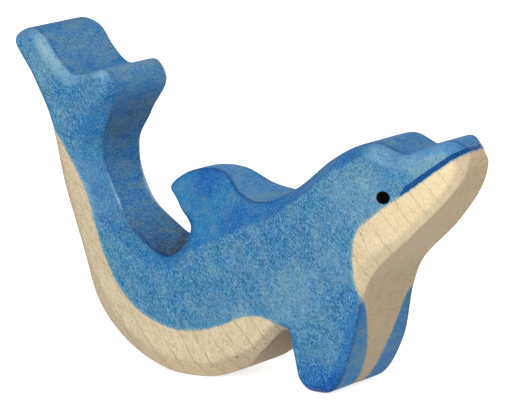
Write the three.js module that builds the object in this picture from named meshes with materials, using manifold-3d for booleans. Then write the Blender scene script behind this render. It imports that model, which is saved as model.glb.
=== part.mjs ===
// Wooden dolphin figurine: one maple board sawn to a leaping profile, its edges sanded to facets,
// stained blue on the back, flanks and fins, with a painted mouth line and two painted eyes.
// Millimetres. +X points to the nose, +Y to the dolphin's left flank, +Z up.
// The origin lies on the ground, below the middle of the part.
import * as THREE from "three";
import { mergeVertices } from "three/addons/utils/BufferGeometryUtils.js";
import Module from "manifold-3d";

const wasm = await Module();
wasm.setup();

// Driving dimensions
const LENGTH = 128.2;
const HEIGHT = 84.7;
const BOARD_THICKNESS = 28;

// Finish
const STAIN_DEPTH = 0.5;
const FIT_GAP = 0.3;
const BARE_FOOT_HEIGHT = 1.0;
const EYE_DIAMETER = 3.3;
const MOUTH_WIDTH = 1.1;

// A place on the profile, from hundredths of the length, counted from the middle, and of the height.
function place([alongShare, upShare]) {
  return new THREE.Vector2((alongShare / 100) * LENGTH, (upShare / 100) * HEIGHT);
}

// Nose seen from above: it starts to narrow at one station and ends blunt at the tip
const NOSE_TAPER_START = 0.296 * LENGTH;
const NOSE_TAPER_BEND = 0.421 * LENGTH;
const NOSE_TAPER_END = 0.503 * LENGTH;
const NOSE_TIP_WIDTH = 0.42 * BOARD_THICKNESS;

// Dorsal fin: both sides lean in from a line that crosses the flank below the fin
const DORSAL_LEAN = 0.55;
const DORSAL_LINE_REAR = place([-17.9, 30.7]);
const DORSAL_LINE_FRONT = place([6.2, 48.5]);

// Eye, and the corner where the mouth line starts
const EYE_CENTRE = place([35.2, 61.0]);
const MOUTH_CORNER_X = 0.388 * LENGTH;

// Bare wood left on the fin's narrow faces: width between the blue edges, and where it is measured
const FIN_MIDDLE_X = 0.218 * LENGTH;
const FRONT_BARE_TOP_WIDTH = 0.893 * BOARD_THICKNESS;
const FRONT_BARE_TOP_HEIGHT = 0.289 * HEIGHT;
const FRONT_BARE_KNEE_WIDTH = 0.586 * BOARD_THICKNESS;
const FRONT_BARE_KNEE_HEIGHT = 0.236 * HEIGHT;
const FRONT_BARE_FOOT_WIDTH = 0.157 * BOARD_THICKNESS;
const REAR_BARE_WIDTH = 0.75 * BOARD_THICKNESS;

// Sawn profile, counter-clockwise as seen with the nose to the right, in hundredths of length and height.
// Each stretch also gives the sanded facet along its edges, in hundredths of the board's thickness:
// cut is its width on the flank, depth its width on the sawn face.
const PROFILE = [
  { name: "beak tip", cut: 7, depth: 3.5, points: [[50.0, 69.5]] },
  { name: "beak top", cut: 9, depth: 13, points: [[49.2, 74.4], [46.7, 76.9], [42.5, 75.3]] },
  { name: "melon", cut: 11.5, depth: 16, points: [[38.3, 72.6], [32.3, 75.2]] },
  { name: "back", cut: 11, depth: 18, points: [[27.7, 73.6], [21.8, 68.6], [13.8, 59.0]] },
  { name: "saddle", cut: 16.5, depth: 12, points: [[6.7, 54.3]] },
  { name: "dorsal front", cut: 2.5, depth: 2.2, points: [[0.8, 55.9], [-3.9, 60.4]] },
  { name: "dorsal tip", cut: 2.5, depth: 2.2, points: [[-8.7, 61.2], [-14.7, 58.5], [-17.3, 54.7]] },
  { name: "dorsal rear", cut: 2.5, depth: 1.5, points: [[-13.9, 49.7]] },
  { name: "bay", cut: 12, depth: 12, points: [[-10.9, 43.3], [-11.8, 38.0], [-14.9, 35.0]] },
  { name: "foot of the tail", cut: 9, depth: 18, points: [[-22.9, 40.6]] },
  { name: "front of the tail", cut: 14, depth: 25, points: [[-28.4, 49.7]] },
  { name: "waist of the tail", cut: 15, depth: 20, points: [[-31.0, 64.1]] },
  { name: "under the front fluke", cut: 14, depth: 13, points: [[-29.0, 73.4]] },
  { name: "front fluke", cut: 5, depth: 8.5, points: [[-26.2, 83.1], [-28.4, 89.1], [-32.4, 88.0]] },
  { name: "fluke notch", cut: 10, depth: 5, points: [[-35.6, 87.3]] },
  { name: "front of the rear fluke", cut: 10.5, depth: 4.5, points: [[-39.3, 91.8], [-42.4, 97.8]] },
  { name: "tip of the rear fluke", cut: 6, depth: 9, points: [[-46.1, 100.0], [-50.0, 96.4]] },
  { name: "rear of the tail", cut: 7.5, depth: 10.5, points: [[-45.8, 84.4], [-42.1, 73.4]] },
  { name: "root of the tail", cut: 8, depth: 7.8, points: [[-38.1, 52.6], [-33.8, 33.9]] },
  { name: "belly", cut: 15.5, depth: 10, points: [[-30.5, 18.4], [-21.6, 5.4], [-8.6, -0.5]] },
  { name: "front of the belly", cut: 14, depth: 18, points: [[2.7, 4.0]] },
  { name: "notch behind the fin", cut: 7.5, depth: 10, points: [[7.6, 10.4], [13.1, 17.7]] },
  { name: "rear of the fin", cut: 7, depth: 11, points: [[14.4, 11.2], [16.1, 2.5], [19.4, -0.4]] },
  { name: "end of the fin", cut: 7.2, depth: 6.5, points: [[24.2, 2.0]] },
  { name: "front of the fin", cut: 7.4, depth: 1.5, points: [[28.1, 13.5]] },
  { name: "chest", cut: 8, depth: 4.5, points: [[30.5, 29.4]] },
  { name: "top of the chest", cut: 12, depth: 5.5, points: [[32.8, 37.3]] },
  { name: "throat", cut: 6.7, depth: 1.6, points: [[41.3, 50.4], [47.9, 62.4]] },
];

// Edge of the blue stain on the flank, in hundredths too: along the tail and belly, and down from the
// nose over the cheek
const BELLY_LINE = [
  [-44.5, 76.2], [-40.2, 71.1], [-35.7, 61.9], [-31.7, 49.6], [-28.1, 34.9], [-24.5, 25.0],
  [-19.1, 17.8], [-10.1, 14.0], [-1.1, 16.8], [3.9, 20.2], [8.6, 21.1], [13.6, 18.2],
];
const CHEEK_LINE = [
  [31.9, 27.9], [30.1, 31.0], [29.2, 36.6], [28.9, 43.2], [29.4, 48.5], [30.3, 50.9],
  [33.4, 54.9], [36.0, 58.1], [40.2, 62.4], [45.1, 68.4], [49.1, 73.2], [53.0, 77.4],
];

// How finely the curves are drawn
const PROFILE_STEPS = 3;
const LINE_STEPS = 26;
const NOSE_STEPS = 8;
const EYE_SIDES = 24;

// Spare length by which the cutting shapes reach past the wood
const OVERREACH = 1.0;

// Corners closer together than this are one corner
const SAME_CORNER = 1e-5;

const HALF_BOARD = BOARD_THICKNESS / 2;
const LEFT = 1;
const RIGHT = -1;

// Turns a closed geometry into a solid that can be joined and cut.
function solidOf(geometry) {
  const bare = geometry.index ? geometry.toNonIndexed() : geometry;
  bare.deleteAttribute("normal");
  bare.deleteAttribute("uv");
  const merged = mergeVertices(bare, SAME_CORNER);
  const mesh = new wasm.Mesh({
    numProp: 3,
    vertProperties: new Float32Array(merged.attributes.position.array),
    triVerts: new Uint32Array(merged.index.array),
  });
  return new wasm.Manifold(mesh);
}

// Turns a solid into a named mesh of the figurine, without the crumbs that a cut may leave behind.
function meshOf(name, solid, material) {
  const pieces = solid.decompose().sort((a, b) => b.volume() - a.volume());
  const { vertProperties, triVerts } = pieces[0].getMesh();
  const geometry = new THREE.BufferGeometry();
  geometry.setAttribute("position", new THREE.BufferAttribute(vertProperties, 3));
  geometry.setIndex(new THREE.BufferAttribute(triVerts, 1));
  const mesh = new THREE.Mesh(geometry, material);
  mesh.name = name;
  return mesh;
}

// An outline pushed straight out to a depth.
function extruded(outline, depth) {
  return new THREE.ExtrudeGeometry(new THREE.Shape(outline), { depth, bevelEnabled: false });
}

// A prism across the board, from an outline drawn in the plane of the profile.
function prismAcross(outline, halfWidth) {
  const geometry = extruded(outline, 2 * halfWidth);
  geometry.rotateX(Math.PI / 2);
  geometry.translate(0, halfWidth, 0);
  return solidOf(geometry);
}

// An upright prism, from an outline drawn as seen from above.
function prismUpright(outline, low, high) {
  const geometry = extruded(outline, high - low);
  geometry.translate(0, 0, low);
  return solidOf(geometry);
}

// A prism along the length, from an outline of across and height values.
function prismAlong(outline, start, end) {
  const geometry = extruded(outline, end - start);
  geometry.rotateX(Math.PI / 2);
  geometry.rotateZ(Math.PI / 2);
  geometry.translate(start, 0, 0);
  return solidOf(geometry);
}

// Corners of a rectangle, counter-clockwise.
function rectangle(left, right, low, high) {
  return [[left, low], [right, low], [right, high], [left, high]].map(([x, y]) => new THREE.Vector2(x, y));
}

// Unit normals that point into a closed counter-clockwise outline.
function inwardNormals(outline) {
  return outline.map((point, i) => {
    const before = outline[(i + outline.length - 1) % outline.length];
    const after = outline[(i + 1) % outline.length];
    const along = after.clone().sub(before).normalize();
    return new THREE.Vector2(-along.y, along.x);
  });
}

// Moves a closed counter-clockwise outline inwards.
function insetOutline(outline, distance) {
  const normals = inwardNormals(outline);
  return outline.map((point, i) => point.clone().addScaledVector(normals[i], distance));
}

// Moves an open line to its left by a distance.
function offsetLine(line, distance) {
  return line.map((point, i) => {
    const before = line[Math.max(i - 1, 0)];
    const after = line[Math.min(i + 1, line.length - 1)];
    const along = after.clone().sub(before).normalize();
    return new THREE.Vector2(point.x - along.y * distance, point.y + along.x * distance);
  });
}

// Evenly spaced points on a smooth line through a few given ones.
function splineThrough(points) {
  const curve = new THREE.SplineCurve(points.map(place));
  return curve.getSpacedPoints(LINE_STEPS);
}

// Dorsal line as an origin, a direction along it and a direction up the fin.
const dorsalAlong = DORSAL_LINE_FRONT.clone().sub(DORSAL_LINE_REAR).normalize();
const dorsalUp = new THREE.Vector2(-dorsalAlong.y, dorsalAlong.x);
const dorsalLength = DORSAL_LINE_FRONT.distanceTo(DORSAL_LINE_REAR);
const dorsalPoints = PROFILE.filter(({ name }) => name.startsWith("dorsal")).flatMap(({ points }) => points);
const dorsalHeight = Math.max(
  ...dorsalPoints.map((point) => place(point).sub(DORSAL_LINE_REAR).dot(dorsalUp)),
);

// Nose taper as points of station and half width.
const noseCurve = new THREE.QuadraticBezierCurve(
  new THREE.Vector2(NOSE_TAPER_START, HALF_BOARD),
  new THREE.Vector2(NOSE_TAPER_BEND, HALF_BOARD),
  new THREE.Vector2(NOSE_TAPER_END, NOSE_TIP_WIDTH / 2),
).getPoints(NOSE_STEPS);

// Half width of the nose at a station, as the taper draws it.
function noseHalfWidth(x) {
  const last = noseCurve[noseCurve.length - 1];
  if (x >= last.x) return last.y;
  const i = noseCurve.findIndex((point) => point.x > x);
  if (i <= 0) return HALF_BOARD;
  const [a, b] = [noseCurve[i - 1], noseCurve[i]];
  return THREE.MathUtils.mapLinear(x, a.x, b.x, a.y, b.y);
}

// Half thickness of the wood at a place on the profile, before the edges are sanded.
function flankAt(point) {
  const fromLine = point.clone().sub(DORSAL_LINE_REAR);
  const along = fromLine.dot(dorsalAlong);
  const above = fromLine.dot(dorsalUp);
  const onFin = along > 0 && along < dorsalLength && above > 0 && above < dorsalHeight + OVERREACH;
  const lean = onFin ? DORSAL_LEAN * above : 0;
  return Math.min(HALF_BOARD - lean, noseHalfWidth(point.x));
}

// The sawn outline as fine points. Each has its facet's cut on the flank and the half width that
// the facet leaves of the sawn face.
function drawProfile() {
  const facetScale = BOARD_THICKNESS / 100;
  const knots = PROFILE.flatMap(({ cut, depth, points }) => points.map((point) => {
    const spot = place(point);
    return { spot, cut: cut * facetScale, face: flankAt(spot) - depth * facetScale };
  }));
  const loop = new THREE.CatmullRomCurve3(
    knots.map(({ spot }) => new THREE.Vector3(spot.x, spot.y, 0)), true, "centripetal",
  );
  const count = knots.length * PROFILE_STEPS;
  return Array.from({ length: count }, (_, i) => {
    const { x, y } = loop.getPoint(i / count);
    const from = knots[Math.floor(i / PROFILE_STEPS)];
    const to = knots[(Math.floor(i / PROFILE_STEPS) + 1) % knots.length];
    const share = (i % PROFILE_STEPS) / PROFILE_STEPS;
    return {
      spot: new THREE.Vector2(x, y),
      cut: THREE.MathUtils.lerp(from.cut, to.cut, share),
      face: THREE.MathUtils.lerp(from.face, to.face, share),
    };
  });
}

const profile = drawProfile();
const outline = profile.map(({ spot }) => spot);
const bounds = new THREE.Box2().setFromPoints(outline).expandByScalar(OVERREACH);

// Closed ring of triangular sections that sands the edge of the left or right flank.
function edgeRing(inset, side) {
  const normals = inwardNormals(outline);
  const corners = profile.map(({ spot, cut, face }, i) => {
    const flank = flankAt(spot.clone().addScaledVector(normals[i], cut));
    const rise = flank - face;
    const slant = Math.hypot(cut, rise);
    const shift = new THREE.Vector2(rise, -cut).multiplyScalar(inset / slant);
    const reach = OVERREACH / slant;
    const section = [
      [-cut * reach + shift.x, face - rise * reach + shift.y],
      [cut * (1 + reach) + shift.x, flank + rise * reach + shift.y],
      [-OVERREACH + shift.x, flank + 2 * OVERREACH],
    ];
    return section.map(([inward, across]) => {
      const corner = spot.clone().addScaledVector(normals[i], inward);
      return [corner.x, side * across, corner.y];
    });
  });
  const positions = [];
  const addTriangle = (a, b, c) => positions.push(...(side === LEFT ? [a, b, c] : [a, c, b]).flat());
  corners.forEach((section, i) => {
    const next = corners[(i + 1) % corners.length];
    section.forEach((corner, k) => {
      const m = (k + 1) % section.length;
      addTriangle(corner, next[k], next[m]);
      addTriangle(corner, next[m], section[m]);
    });
  });
  const geometry = new THREE.BufferGeometry();
  geometry.setAttribute("position", new THREE.Float32BufferAttribute(positions, 3));
  return solidOf(geometry);
}

// Wedge that leans the left or right side of the dorsal fin.
function dorsalWedge(inset, side) {
  const height = dorsalHeight + OVERREACH;
  const base = HALF_BOARD - inset * Math.hypot(1, DORSAL_LEAN);
  const section = [
    [-OVERREACH, base + DORSAL_LEAN * OVERREACH],
    [height, base - DORSAL_LEAN * height],
    [height, HALF_BOARD + OVERREACH],
    [-OVERREACH, HALF_BOARD + OVERREACH],
  ];
  const corners = section.map(([up, across]) => new THREE.Vector2(up, -side * across));
  const geometry = extruded(corners, dorsalLength);
  const axes = new THREE.Matrix4().makeBasis(
    new THREE.Vector3(dorsalUp.x, 0, dorsalUp.y),
    new THREE.Vector3(0, -1, 0),
    new THREE.Vector3(dorsalAlong.x, 0, dorsalAlong.y),
  );
  axes.setPosition(DORSAL_LINE_REAR.x, 0, DORSAL_LINE_REAR.y);
  geometry.applyMatrix4(axes);
  return solidOf(geometry);
}

// The whole figurine as one shape, or the same shape lying a distance below its surface.
function carvedShape(inset) {
  const noseEnd = Math.max(bounds.max.x, NOSE_TAPER_END) + OVERREACH;
  const leftEdge = [
    new THREE.Vector2(bounds.min.x, HALF_BOARD),
    ...noseCurve,
    new THREE.Vector2(noseEnd, NOSE_TIP_WIDTH / 2),
  ].map(({ x, y }) => new THREE.Vector2(x, y - inset));
  const rightEdge = leftEdge.map(({ x, y }) => new THREE.Vector2(x, -y)).reverse();
  const fromAbove = prismUpright([...leftEdge, ...rightEdge], bounds.min.y, bounds.max.y);
  const ground = prismUpright(
    rectangle(bounds.min.x, noseEnd, -BOARD_THICKNESS, BOARD_THICKNESS),
    bounds.min.y - OVERREACH,
    inset,
  );
  const sawn = prismAcross(insetOutline(outline, inset), HALF_BOARD + OVERREACH);
  return [LEFT, RIGHT].reduce(
    (shape, side) => shape.subtract(dorsalWedge(inset, side)).subtract(edgeRing(inset, side)),
    sawn.intersect(fromAbove).subtract(ground),
  );
}

// Room that the blue stain takes up, with its edges pulled back by a margin.
function stainedRoom(margin) {
  const belly = offsetLine(splineThrough(BELLY_LINE), margin);
  const cheek = offsetLine(splineThrough(CHEEK_LINE), margin);
  const foot = BARE_FOOT_HEIGHT + margin;
  const notch = belly[belly.length - 1];
  const room = prismAcross(
    [
      ...belly,
      new THREE.Vector2(notch.x - OVERREACH, foot),
      new THREE.Vector2(bounds.max.x, foot),
      new THREE.Vector2(bounds.max.x, cheek[0].y - OVERREACH),
      ...cheek,
      new THREE.Vector2(cheek[cheek.length - 1].x, bounds.max.y),
      new THREE.Vector2(bounds.min.x, bounds.max.y),
      new THREE.Vector2(bounds.min.x, belly[0].y),
    ],
    HALF_BOARD + OVERREACH,
  );
  const bareFront = [
    [FRONT_BARE_FOOT_WIDTH, bounds.min.y],
    [FRONT_BARE_KNEE_WIDTH, FRONT_BARE_KNEE_HEIGHT],
    [FRONT_BARE_TOP_WIDTH, FRONT_BARE_TOP_HEIGHT],
    [FRONT_BARE_TOP_WIDTH, FRONT_BARE_TOP_HEIGHT + BOARD_THICKNESS / 5],
  ].map(([width, height]) => new THREE.Vector2(width / 2 + margin, height));
  const mirrored = bareFront.map(({ x, y }) => new THREE.Vector2(-x, y)).reverse();
  const rearHalf = REAR_BARE_WIDTH / 2 + margin;
  const rearTop = notch.y + STAIN_DEPTH + FIT_GAP;
  const bareRear = rectangle(-rearHalf, rearHalf, bounds.min.y, rearTop);
  return room
    .subtract(prismAlong([...bareFront, ...mirrored], FIN_MIDDLE_X, bounds.max.x))
    .subtract(prismAlong(bareRear, notch.x - OVERREACH, FIN_MIDDLE_X));
}

// Room of the mouth line, just above the stain's edge, from the mouth's corner round the tip of the nose.
function mouthRoom(margin) {
  const cheek = splineThrough(CHEEK_LINE).filter(({ x }) => x > MOUTH_CORNER_X - margin);
  const lower = offsetLine(cheek, FIT_GAP - margin);
  const upper = offsetLine(cheek, FIT_GAP + MOUTH_WIDTH + margin);
  return prismAcross([...lower, ...upper.reverse()], HALF_BOARD + OVERREACH);
}

// Room of the round eye on the left or right cheek.
function eyeRoom(margin, side) {
  const radius = EYE_DIAMETER / 2 + margin;
  const geometry = new THREE.CylinderGeometry(radius, radius, BOARD_THICKNESS, EYE_SIDES);
  geometry.translate(EYE_CENTRE.x, side * HALF_BOARD, EYE_CENTRE.y);
  return solidOf(geometry);
}

const maple = new THREE.MeshStandardMaterial({ color: 0xe6d3ac, roughness: 0.7, metalness: 0 });
const blue = new THREE.MeshStandardMaterial({ color: 0x4a8cc2, roughness: 0.55, metalness: 0 });
const deepBlue = new THREE.MeshStandardMaterial({ color: 0x1a5aa8, roughness: 0.5, metalness: 0 });
const black = new THREE.MeshStandardMaterial({ color: 0x0a0a0a, roughness: 0.4, metalness: 0 });

// The finishes share one thin layer below the surface, and the wood is hollowed out below that layer.
const surface = carvedShape(0);
const layer = surface.subtract(carvedShape(STAIN_DEPTH));
const stainLayer = layer.intersect(stainedRoom(FIT_GAP));
const pocket = stainedRoom(0)
  .add(eyeRoom(FIT_GAP, LEFT))
  .add(eyeRoom(FIT_GAP, RIGHT))
  .subtract(carvedShape(STAIN_DEPTH + FIT_GAP));
const blueLayer = stainLayer
  .subtract(mouthRoom(FIT_GAP))
  .subtract(eyeRoom(FIT_GAP, LEFT))
  .subtract(eyeRoom(FIT_GAP, RIGHT));

const figurine = new THREE.Group();
figurine.name = "dolphin_figurine";
figurine.add(
  meshOf("body", surface.subtract(pocket), maple),
  meshOf("blue_stain", blueLayer, blue),
  meshOf("mouth_line", stainLayer.intersect(mouthRoom(0)), deepBlue),
  meshOf("eye_left", layer.intersect(eyeRoom(0, LEFT)), black),
  meshOf("eye_right", layer.intersect(eyeRoom(0, RIGHT)), black),
);

export default figurine;
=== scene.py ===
"""Looks of the wooden dolphin figurine: a maple board sawn to a leaping profile, with sanded edges,
a blue water stain, a brushed mouth stroke and two black eye dots.

Places are in millimetres until a mesh is finished; the frame and Blender's objects are in metres.
+X points to the nose, +Y to the dolphin's left flank, +Z up.
"""
import math

import bmesh
import bpy
import numpy as np
from mathutils import Matrix, Vector, noise
from mathutils.bvhtree import BVHTree


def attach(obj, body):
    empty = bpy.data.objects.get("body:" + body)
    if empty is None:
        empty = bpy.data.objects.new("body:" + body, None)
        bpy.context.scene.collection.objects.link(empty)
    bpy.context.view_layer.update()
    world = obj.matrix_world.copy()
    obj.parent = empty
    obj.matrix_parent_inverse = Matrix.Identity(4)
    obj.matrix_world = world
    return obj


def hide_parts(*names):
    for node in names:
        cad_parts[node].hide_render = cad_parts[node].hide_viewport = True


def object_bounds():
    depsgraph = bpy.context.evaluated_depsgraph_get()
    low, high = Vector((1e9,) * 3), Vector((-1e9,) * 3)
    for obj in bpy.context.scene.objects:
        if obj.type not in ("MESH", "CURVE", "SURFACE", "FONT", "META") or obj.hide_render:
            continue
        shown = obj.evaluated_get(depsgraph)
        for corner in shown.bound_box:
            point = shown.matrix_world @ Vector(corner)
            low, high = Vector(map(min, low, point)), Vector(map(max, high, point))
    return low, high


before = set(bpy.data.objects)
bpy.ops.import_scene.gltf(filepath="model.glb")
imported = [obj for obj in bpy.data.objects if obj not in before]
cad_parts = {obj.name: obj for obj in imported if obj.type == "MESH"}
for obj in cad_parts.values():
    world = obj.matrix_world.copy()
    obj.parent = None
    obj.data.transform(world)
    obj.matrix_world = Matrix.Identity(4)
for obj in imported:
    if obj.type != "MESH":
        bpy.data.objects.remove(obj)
cad_low, cad_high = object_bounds()

MM = 0.001
LENGTH, THICKNESS, HEIGHT = (cad_high - cad_low) / MM
HALF_BOARD = THICKNESS / 2

# Photograph's frame and the camera that took it
PHOTO_WIDTH = 515
FOCAL_PIXELS = 4350
SENSOR_MM = 36
CAMERA_PLACE = Vector((567.9, -907.1, 239.0)) * MM
CAMERA_AZIMUTH = 32.0
CAMERA_ELEVATION = 10.4

# Round soft lamps: width in metres, watts, and the azimuth and elevation that they shine from
LAMP_REACH = 1.5
LAMPS = (
    ("key", 0.9, 16.2, 17, 31),
    ("fill", 0.5, 6.0, 178, 9),
)

# Even light of the room, and the floor with the glow that keeps it white to the camera
ROOM_LIGHT = 0.31
FLOOR_GLOW = 0.8
FLOOR_HALF = 4000
FLOOR_DROP = 0.05

# Nose seen from above
NOSE_TAPER_START = 0.296 * LENGTH
NOSE_TAPER_BEND = 0.421 * LENGTH
NOSE_TAPER_END = 0.503 * LENGTH
NOSE_TIP_HALF = 0.21 * THICKNESS

# Dorsal fin: its sides lean in from a line on the flank, and the lean fades out towards both ends.
# With less than a least share of it left, the flank counts as plain.
DORSAL_LEAN = 0.55
DORSAL_LINE_REAR = (-17.9, 30.7)
DORSAL_LINE_FRONT = (6.2, 48.5)
DORSAL_FADE_REAR = (1.0, 11.0)
DORSAL_FADE_FRONT = (31.0, 37.0)
DORSAL_REACH = 24.0
DORSAL_FADE_LEAST = 0.02

# Rounding that the sanding leaves where a facet meets the sawn face, and along the dorsal line, in mm.
# A rounding takes no more than a share of its facet.
SAWN_ROUND = 0.5
LINE_ROUND = 0.4
ROUND_SHARE = 0.4

# Facets are sanded by hand, so they are a little wider and narrower along the edge
FACET_WOBBLE = 0.05
FACET_WOBBLE_LENGTH = 9

# Loops over a sanded edge: places on the rounding at the sawn face, with the share of the crease's value
# that each holds, gathered stain above 0 and a painted highlight below 0, then places on the facet, then
# places on the rounding at the flank
SAWN_ROUND_LOOPS = ((0, 0.9), (0.25, 1), (0.5, 1), (0.75, 0.8), (1, 0.3))
FACET_LOOPS = (0.33, 0.67)
FLANK_ROUND_LOOPS = (0, 0.25, 0.5, 0.75, 1)

# How a crease's gathered stain and painted highlight fade over the sawn face: reach in mm and what is
# left of it
CREASE_FADE = ((0.4, 0.7), (0.8, 0.3), (1.2, 0))

# Rounding at the ends of the flats that it stands on
GROUND_ROUND = 0.8

# Mesh fineness: spacing of loops and cuts in mm, bands over half of the sawn face, cuts along the dorsal
# line as shares of its rounding, and how near to a corner a cut or the mirror joins it
OUTLINE_STEP = 0.8
FLANK_STEP = 1.0
WALL_BANDS = 12
DORSAL_CUTS = (-1, -0.5, 0, 0.5, 1)
CUT_SNAP = 0.03
MIRROR_SNAP = 1e-4

# Points along the nose, and steps between two knots of each other line
NOSE_STEPS = 40
PROFILE_STEPS = 40
STAIN_STEPS = 12
FIN_FRONT_STEPS = 8
MOUTH_STEPS = 24

# Eyes
EYE_CENTRE = (35.35, 60.35)
EYE_RADIUS = 1.6
EYE_STRETCH = 1.1
EYE_PAINT = 0.4
EYE_PROUD = 0.05
EYE_SIDES = 64
EYE_RIM_STEPS = 3

# Mouth stroke: it starts thin at the corner, swells, and thins again round the beak's tip
MOUTH_CORNER = 38.6
MOUTH_WIDTH = 1.6
MOUTH_TURN_X = 57.0
MOUTH_TURN_RUN = 9.0
MOUTH_LIFT = 0.35
MOUTH_START = 0.15
MOUTH_SWELL = 0.7
MOUTH_TIP_THINNING = 0.2
MOUTH_GRID = (160, 6)
MOUTH_FIT_ROUNDS = 8
PAINT_FILM = 0.05

# The brush leaves the stroke's width uneven and its lower edge ragged: how much, over what length in mm,
# and where in the noise each cheek's stroke is read
WIDTH_UNEVEN, WIDTH_UNEVEN_LENGTH, WIDTH_SEED = 0.12, 3, 7
EDGE_RAGGED, EDGE_RAGGED_LENGTH, EDGE_SEED, EDGE_LAYER = 0.22, 0.8, 3, 5

# Sawn profile, counter-clockwise with the nose to the right, in hundredths of length and height.
# Each stretch starts with its sanded facet: width on the flank and on the sawn face in hundredths of the
# thickness, radius of the crease towards the flank in mm, and how smooth it is, from 0 to 1.
# Then how deep the stain took on the facet, on its crease and on the sawn face, from -1, worn pale, to 1,
# deep. A crease below 0 is a painted highlight, kept to the right flank. A deep sawn face in a hollow is
# partly deeper stain in the end grain and partly painted shade; on bare wood the last one is painted shade
# alone, a shaded brown on the sawn face.
PROFILE = (
    (7, 3.5, 0.6, 1, -0.1, 0, 0, ((50.0, 69.5),)),  # beak tip
    (9, 13, 0.6, 1, 0.2, 0.5, -0.1, ((49.2, 74.4),)),  # front of the beak top
    (9, 13, 0.6, 1, 0.1, 0.4, -0.05, ((46.7, 76.9), (42.5, 75.3))),  # beak top
    (11.5, 16, 0.6, 0.55, -0.4, 0.6, 0.1, ((38.3, 72.6), (32.3, 75.2))),  # melon
    (11, 18, 0.6, 1, 0.3, 0.4, 0.2, ((27.7, 73.6), (21.8, 68.6), (13.8, 59.0))),  # back
    (16.5, 12, 0.6, 1, 0.3, 0.75, 0.1, ((6.7, 54.3),)),  # saddle
    (2.5, 2.2, 0.3, 1, 0.2, 0.7, -0.1, ((0.8, 55.9), (-3.9, 60.4))),  # front of the dorsal fin
    (2.5, 2.2, 0.3, 1, 0.3, 0.6, 0, ((-8.7, 61.2), (-14.7, 58.5), (-17.3, 54.7))),  # tip of the dorsal fin
    (2.5, 1.5, 0.3, 1, 0.1, 0.7, 0.3, ((-13.9, 49.7),)),  # rear of the dorsal fin
    (12, 12, 0.8, 0.7, 0.15, 0.9, 1.0, ((-10.9, 43.3), (-11.8, 38.0), (-14.9, 35.0))),  # bay
    (9, 18, 0.8, 0.6, 0, 0.5, 0.35, ((-22.9, 40.6),)),  # foot of the tail
    (14, 25, 1.2, 0.5, -0.1, -0.7, 0.05, ((-28.4, 49.7),)),  # front of the tail
    (15, 20, 2.0, 0.6, 0, -0.3, 0.25, ((-31.0, 64.1),)),  # waist of the tail
    (14, 13, 1.6, 0.5, 0, -0.2, 0.42, ((-29.0, 73.4),)),  # under the front fluke
    (5, 8.5, 0.6, 0.6, 0.1, -0.15, 0, ((-26.2, 83.1),)),  # front of the front fluke
    (5, 8.5, 0.6, 0.6, -0.7, 0.4, -0.2, ((-28.4, 89.1),)),  # tip of the front fluke
    (5, 8.5, 0.6, 0.4, -0.2, 0.3, -0.25, ((-32.4, 88.0),)),  # top of the front fluke
    (10, 5, 0.8, 0.4, -0.35, 0.2, 0.1, ((-35.6, 87.3),)),  # notch between the flukes
    (10.5, 4.5, 0.8, 0.2, -0.65, 0.2, -0.1, ((-39.3, 91.8), (-42.4, 97.8))),  # front of the rear fluke
    (6, 9, 0.6, 0.5, -0.2, 0.5, 0.3, ((-46.1, 100.0), (-50.0, 96.4))),  # tip of the rear fluke
    (7.5, 10.5, 0.8, 0.6, 0.4, 0.8, 0, ((-45.8, 84.4), (-42.1, 73.4))),  # rear of the tail
    (8, 7.8, 0.8, 0.4, 0, 0, 0, ((-38.1, 52.6), (-33.8, 33.9))),  # root of the tail
    (15.5, 10, 0.8, 0.4, 0, 0, 0, ((-30.5, 18.4), (-21.6, 5.4), (-8.6, -0.5))),  # belly
    (14, 18, 0.8, 0.4, 0, 0, 0.1, ((2.7, 4.0),)),  # front of the belly
    (7.5, 10, 0.6, 0.4, 0, 0, 0.35, ((7.6, 10.4),)),  # notch behind the fin
    (7.5, 10, 0.6, 0.8, 0.3, 0.6, 0.4, ((13.1, 17.7),)),  # top of that notch
    (7, 11, 0.6, 0.8, 0.7, 0.7, 0, ((14.4, 11.2), (16.1, 2.5), (19.4, -0.4))),  # rear of the fin
    (7.2, 6.5, 0.6, 0.8, 0.5, 0.5, 0, ((24.2, 2.0),)),  # end of the fin
    (9, 1.8, 0.6, 1, 0.4, 0.4, -0.1, ((28.1, 13.5),)),  # front of the fin
    (8, 4.5, 0.6, 0.6, 0.2, 0.5, 0, ((30.5, 29.4),)),  # chest
    (12, 5.5, 0.8, 1, 0, 0, 0, ((32.8, 37.3),)),  # top of the chest
    (6.7, 1.6, 0.6, 1, 0, 0, 0.08, ((41.3, 50.4), (47.9, 62.4))),  # throat
)

# Patches where the stain took paler or deeper, or where the flank is sanded smoother: place in hundredths,
# radius in mm, and by how much it is deeper and smoother. A patch fades between two shares of its radius.
PATCHES = (
    (4, 22, 3, -0.35, 0),  # above the belly's arch
    (17, 29, 10, -0.30, 0),  # shoulder above the notch
    (30, 59, 9, -0.30, 0),  # side of the head
    (26, 39, 6, -0.15, 0),  # behind the throat
    (45, 72, 8, -0.45, 0),  # side of the beak
    (13, 45, 11, 0.20, 0),  # below the back
    (22, 26, 8, 0.20, 0),  # root of the fin
    (14.6, 19.6, 1.6, 0.10, 0.7),  # above the notch behind the fin
    (2, 48, 5, 0.65, 0),  # below the dorsal fin
    (-8, 59, 6, 0.75, 0),  # crown of the dorsal fin
    (21, 3, 7, 0.70, 0.7),  # end of the fin
    (24, 12, 3, -0.20, 0.3),  # streak beside the fin's front edge
    (-43, 89, 6, -0.20, 0),  # flank of the rear fluke
    (-31, 74, 9, 0.22, 0.2),  # waist of the tail
    (-30, 57, 10, -0.15, 0.3),  # tail below it
)
PATCH_FADE = (0.3, 1.3)

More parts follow.
